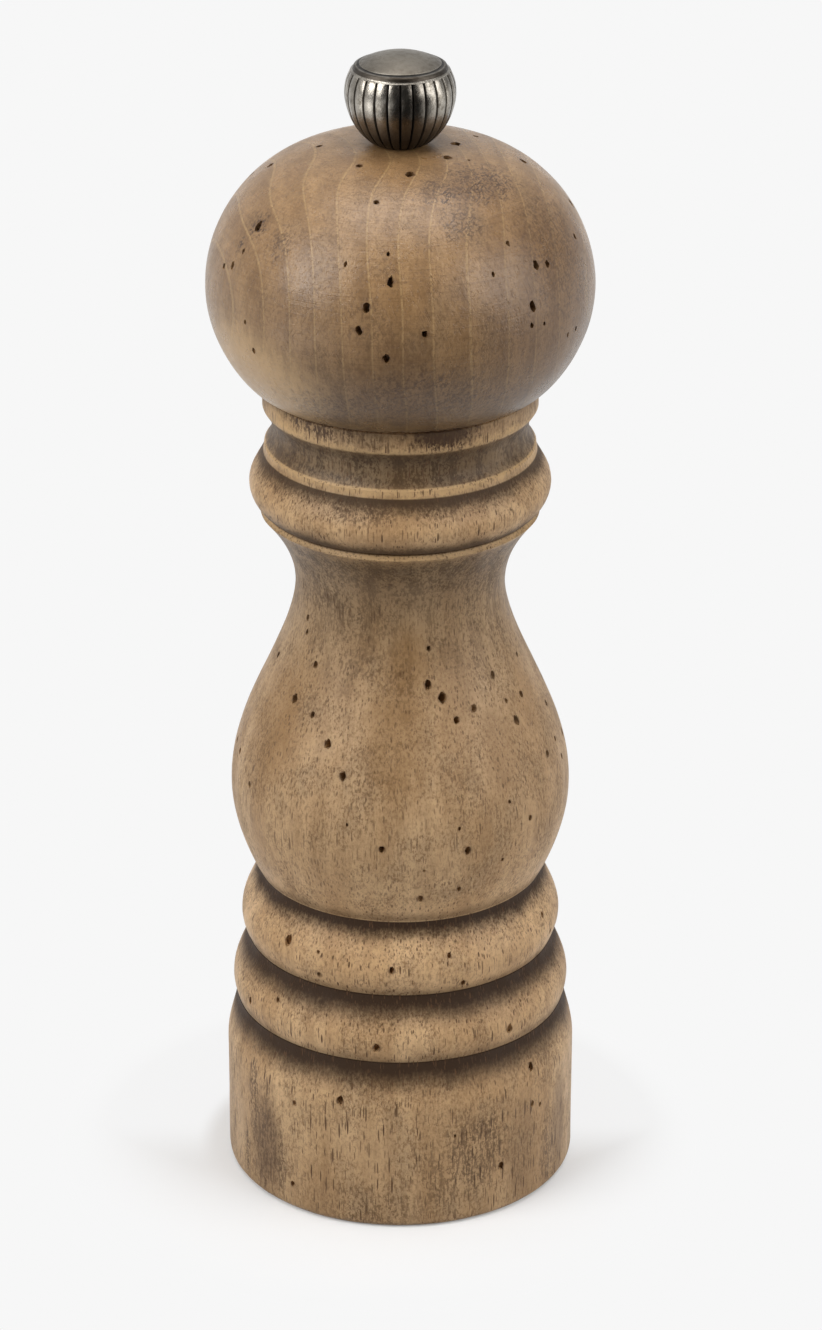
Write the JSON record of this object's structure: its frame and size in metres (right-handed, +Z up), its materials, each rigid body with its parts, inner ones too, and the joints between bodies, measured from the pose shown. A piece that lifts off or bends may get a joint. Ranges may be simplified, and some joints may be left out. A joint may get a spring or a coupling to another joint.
{
  "type": "pepper mill",
  "caption": "Classic turned wooden pepper mill with a pear-shaped body, a ball head, a fluted metal knob and a steel grinding mechanism in its base.",
  "frame": {"origin": "middle of the base, on the surface that the mill stands on", "axes": "+Z up along the mill's turning axis; -Y is the front"},
  "size_m": [0.07, 0.07, 0.22],
  "materials": {
    "wood": "aged, worn and waxed beech",
    "pewter": "antique pewter, satin",
    "plated_steel": "zinc-plated, satin",
    "hardened_steel": "hardened, dark",
    "spring_steel": "bright drawn wire",
    "brass": "satin"
  },
  "bodies": {
    "mill_body": {"wood_body": "wood", "stator": "hardened_steel", "mechanism_housing": "plated_steel", "spring_bridge": "plated_steel", "bridge_rivets": "brass", "retaining_bar": "plated_steel", "retaining_screws": "plated_steel"},
    "turning_set": {"spring": "spring_steel", "spring_washer": "brass"},
    "spindle": {"drive_shaft": "plated_steel", "rotor": "hardened_steel", "rotor_washer": "plated_steel"},
    "head": {"wood_head": "wood", "drive_plate": "plated_steel", "drive_plate_screws": "plated_steel"},
    "knob": {"knob": "pewter"}
  },
  "joints": [
    {"name": "grind_turn", "type": "hinge", "parent": "mill_body", "child": "turning_set", "pos_m": [0, 0, 0.1583], "axis": [0, 0, 1], "continuous": true},
    {"name": "rotor_lift", "type": "slide", "parent": "turning_set", "child": "spindle", "axis": [0, 0, 1], "range_m": [-0.0012, 0.0006], "deforming": ["spring"]},
    {"name": "head_lift", "type": "slide", "parent": "turning_set", "child": "head", "axis": [0, 0, 1], "range_m": [0, 0.085]},
    {"name": "knob_turn", "type": "hinge", "parent": "head", "child": "knob", "pos_m": [0, 0, 0.2034], "axis": [0, 0, 1], "range_deg": [-270, 540]}
  ],
  "couplings": [
    {"joint": "knob_turn", "follows": "rotor_lift", "rad_per_m": -7853}
  ]
}
